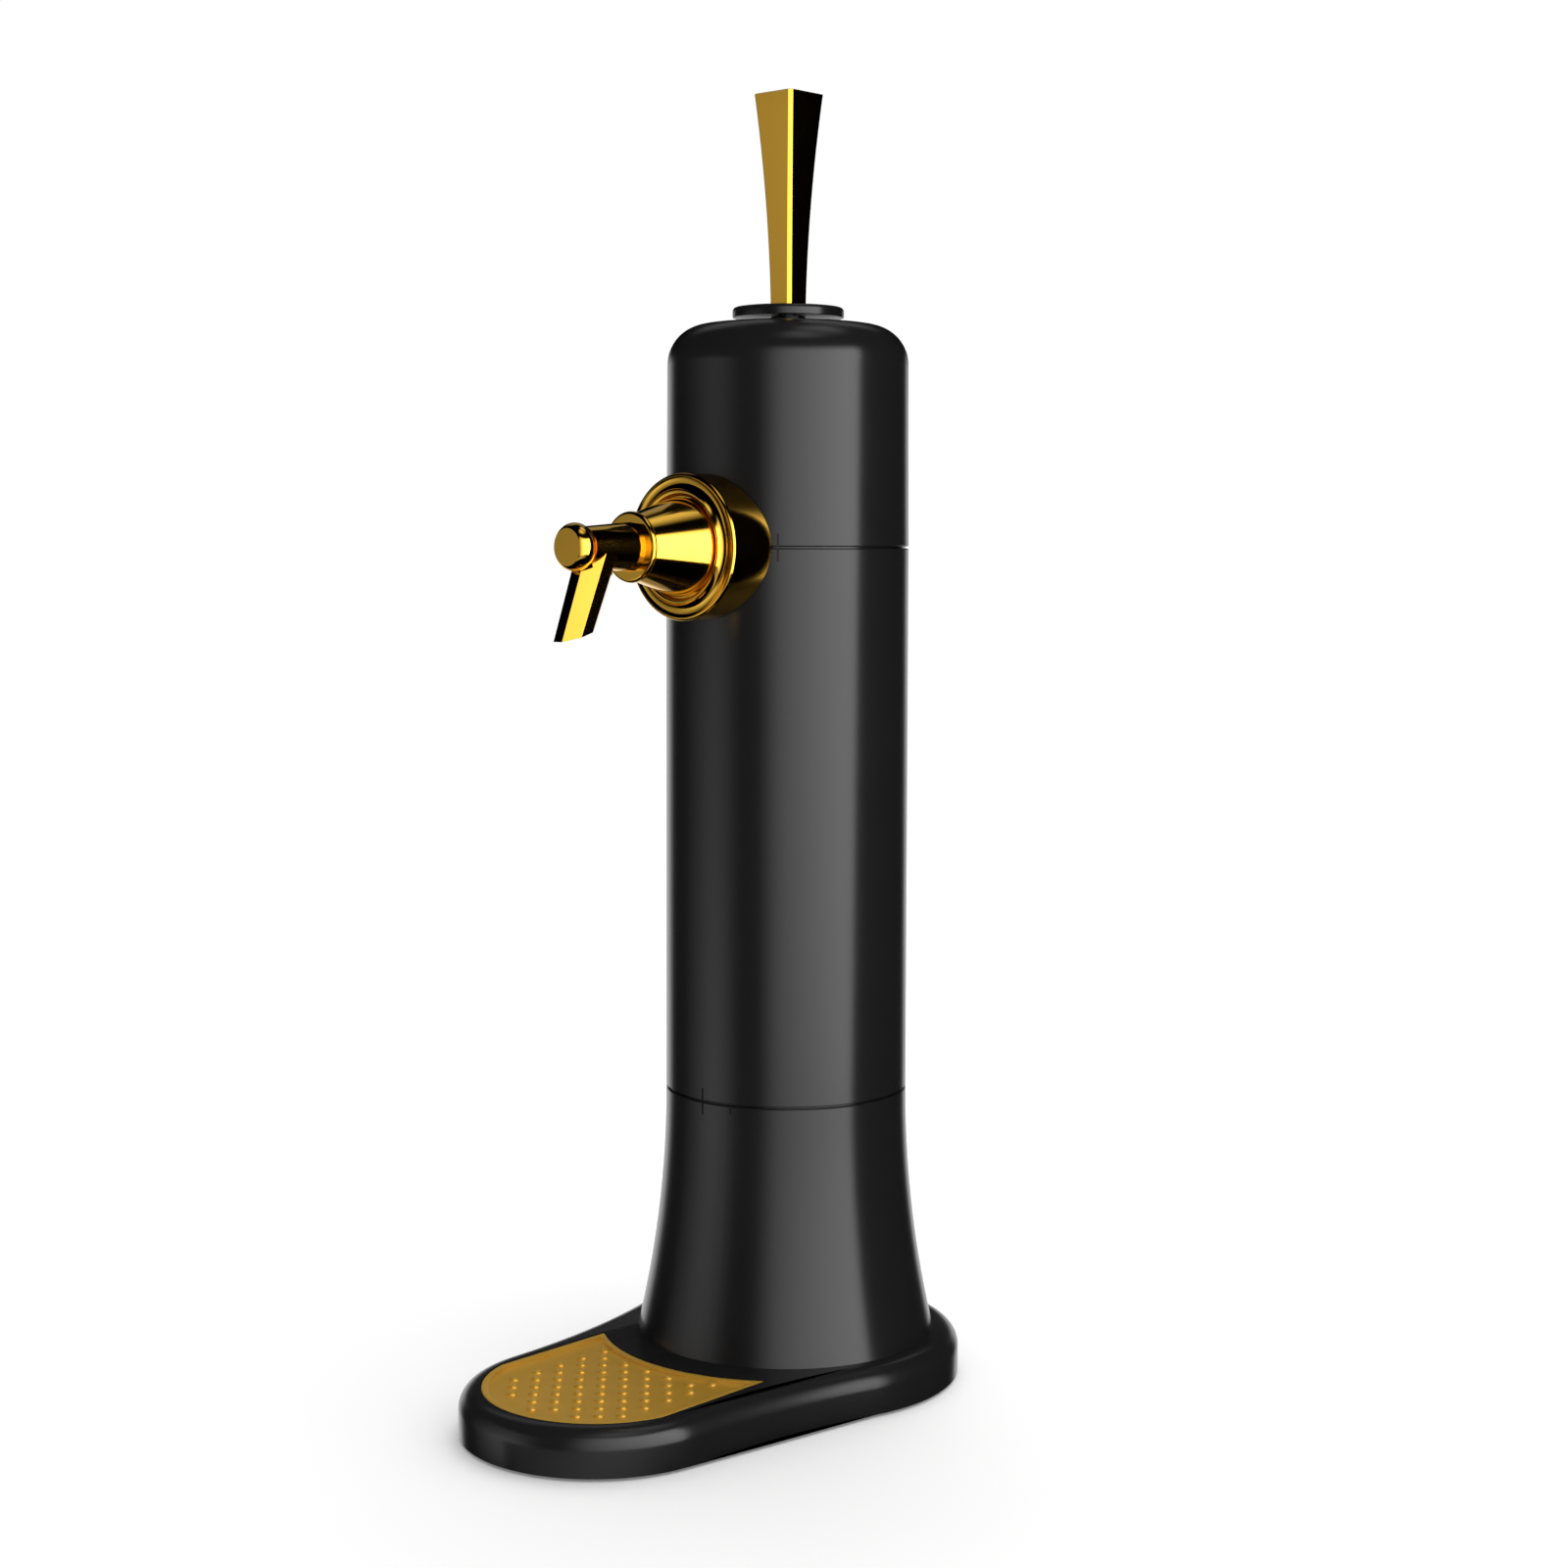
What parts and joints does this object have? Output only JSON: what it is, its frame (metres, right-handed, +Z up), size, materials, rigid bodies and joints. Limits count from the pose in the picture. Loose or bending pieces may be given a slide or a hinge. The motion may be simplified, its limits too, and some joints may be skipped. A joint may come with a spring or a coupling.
{
  "type": "table-top beer foaming tower",
  "caption": "Table-top beer tower that pumps a can or bottle up to a gold tap and froths it when the top handle is tilted, on a pear-shaped plinth with a lift-out drip tray.",
  "frame": {"origin": "on the table, under the middle of the plinth", "axes": "+Z up along the tower, -Y to the front, the way the tap points, and X across the plinth, with +X on the right for a person in front who looks at the tap"},
  "size_m": [0.1348, 0.2178, 0.488],
  "materials": {
    "body_black": "satin black moulded ABS",
    "inner_black": "matt black moulded plastic",
    "gold_plated": "bright gold-coloured plating on moulded ABS",
    "gold_tray": "gold-coloured stamped sheet",
    "black_rubber": "matt black rubber",
    "silicone": "translucent white silicone",
    "white_plastic": "natural white food-grade plastic",
    "steel": "plain bright steel",
    "motor_can": "bright drawn metal can",
    "cell_wrap": "printed film over a metal can, left plain",
    "board_green": "green solder mask",
    "component_black": "moulded black plastic",
    "plunger_red": "moulded red plastic"
  },
  "bodies": {
    "base": {"base_cover": "body_black", "base_plate": "inner_black", "rubber_feet": "black_rubber", "base_screws": "steel", "pedestal": "body_black", "pedestal_screws": "steel", "bottle_cup": "inner_black", "bottle_pad": "black_rubber", "locking_ring": "inner_black", "ring_screws": "steel"},
    "tray": {"drip_tray": "gold_tray"},
    "barrel": {"barrel": "body_black", "barrel_liner": "inner_black", "lug_ring": "inner_black"},
    "head": {"head_shell": "body_black", "head_chassis": "inner_black", "head_seal": "silicone", "dip_tube": "white_plastic", "beer_elbow": "white_plastic", "foam_transducer": "motor_can", "pump_head": "inner_black", "pump_motor": "motor_can", "air_hose": "silicone", "battery_holder": "inner_black", "battery_cells": "cell_wrap", "battery_contacts": "steel", "circuit_board": "board_green", "board_components": "component_black", "lever_bracket": "inner_black", "bracket_screws": "steel", "pivot_pin": "steel", "front_switch": "component_black", "rear_switch": "component_black", "tap_flange": "gold_plated", "tap_body": "gold_plated", "tap_collar": "gold_plated", "tap_tube": "gold_plated", "tap_cap": "gold_plated", "nozzle": "gold_plated", "shank_nut": "steel"},
    "lever": {"lever": "steel", "handle": "gold_plated"},
    "slot_cover": {"slot_cover": "body_black"},
    "front_plunger": {"front_plunger": "plunger_red"},
    "rear_plunger": {"rear_plunger": "plunger_red"},
    "battery_door": {"battery_door": "inner_black"}
  },
  "joints": [
    {"name": "tray_lift", "type": "slide", "parent": "base", "child": "tray", "axis": [0, 0, 1], "range_m": [0, 0.08]},
    {"name": "barrel_twist", "type": "hinge", "parent": "base", "child": "barrel", "pos_m": [0, 0.0415, 0.1131], "axis": [0, 0, 1], "range_deg": [0, 16]},
    {"name": "head_lift", "type": "slide", "parent": "barrel", "child": "head", "axis": [0, 0, 1], "range_m": [0, 0.3]},
    {"name": "handle_tilt", "type": "hinge", "parent": "head", "child": "lever", "pos_m": [0, 0.0415, 0.385], "axis": [1, 0, 0], "range_deg": [-10, 10], "stiffness_Nm_per_rad": 1},
    {"name": "slot_cover_slide", "type": "slide", "parent": "head", "child": "slot_cover", "axis": [0, 1, 0], "range_m": [-0.004, 0.004]},
    {"name": "front_plunger_travel", "type": "slide", "parent": "head", "child": "front_plunger", "axis": [0, 1, 0], "range_m": [-0.0015, 0.0015]},
    {"name": "rear_plunger_travel", "type": "slide", "parent": "head", "child": "rear_plunger", "axis": [0, 1, 0], "range_m": [-0.0015, 0.0015]},
    {"name": "battery_door_drop", "type": "slide", "parent": "head", "child": "battery_door", "axis": [0, 0, -1], "range_m": [0, 0.03]}
  ],
  "couplings": [
    {"joint": "slot_cover_slide", "follows": "handle_tilt", "m_per_rad": -0.022},
    {"joint": "front_plunger_travel", "follows": "handle_tilt", "m_per_rad": 0.008},
    {"joint": "rear_plunger_travel", "follows": "handle_tilt", "m_per_rad": 0.008}
  ]
}
